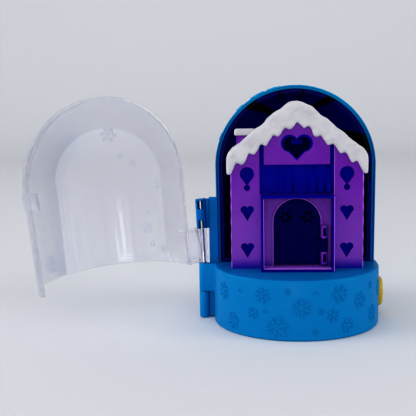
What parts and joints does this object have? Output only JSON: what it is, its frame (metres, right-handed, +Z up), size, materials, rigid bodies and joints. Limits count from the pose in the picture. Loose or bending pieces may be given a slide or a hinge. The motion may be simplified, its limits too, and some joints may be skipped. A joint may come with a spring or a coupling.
{
  "type": "opening snow globe playset",
  "caption": "Globe-shaped opening display: round two-part base, arched back shell, hinged clear dome cover, and a small snow-roofed chalet with a working door.",
  "frame": {"origin": "on the resting face, in the parting plane between the front and back halves, midway between the base's sides", "axes": "+X to the right of a person facing the chalet, +Y from the chalet towards the back shell, +Z up"},
  "size_m": [0.1737, 0.0942, 0.1171],
  "materials": {
    "blue_shell": "injection moulded light-blue ABS, satin",
    "navy_plastic": "injection moulded dark navy ABS, satin",
    "purple_plastic": "injection moulded purple ABS, soft gloss",
    "snow_white": "injection moulded white ABS, soft satin",
    "clear_cover": "clear moulded polystyrene, polished",
    "yellow_button": "injection moulded yellow ABS, gloss",
    "steel": "bright drawn steel wire and screws",
    "grey_plastic": "moulded grey acetal"
  },
  "bodies": {
    "back_half": {"back_shell": "blue_shell", "interior_backdrop": "navy_plastic", "rear_bottom_plate": "blue_shell", "rear_plate_screws": "steel", "cover_hinge_pin": "steel", "base_hinge_pin": "steel", "button_retainer": "grey_plastic", "latch_spring": "steel"},
    "front_half": {"drum_front": "blue_shell", "front_bottom_plate": "blue_shell", "front_plate_screws": "steel", "house_facade": "purple_plastic", "house_backing": "navy_plastic", "house_screws": "steel", "porch": "purple_plastic", "snow_roof": "snow_white", "chimney": "purple_plastic", "chimney_snow_cap": "snow_white"},
    "cover": {"clear_cover": "clear_cover"},
    "door": {"door": "navy_plastic"},
    "button": {"latch_button": "yellow_button"}
  },
  "joints": [
    {"name": "cover_swing", "type": "hinge", "parent": "back_half", "child": "cover", "pos_m": [-0.0463, 0, 0.0285], "axis": [0.0454, 0, -0.999], "range_deg": [-147.7, 20]},
    {"name": "front_open", "type": "hinge", "parent": "back_half", "child": "front_half", "pos_m": [-0.0463, 0, 0], "axis": [0, 0, -1], "range_deg": [0, 90]},
    {"name": "door_swing", "type": "hinge", "parent": "front_half", "child": "door", "pos_m": [0.013, -0.0183, 0], "axis": [0, 0, 1], "range_deg": [0, 57]},
    {"name": "button_press", "type": "slide", "parent": "back_half", "child": "button", "axis": [-1, 0, 0], "range_m": [0, 0.0016], "stiffness_N_per_m": 400, "springref_m": -0.001, "deforming": ["latch_spring"]}
  ]
}
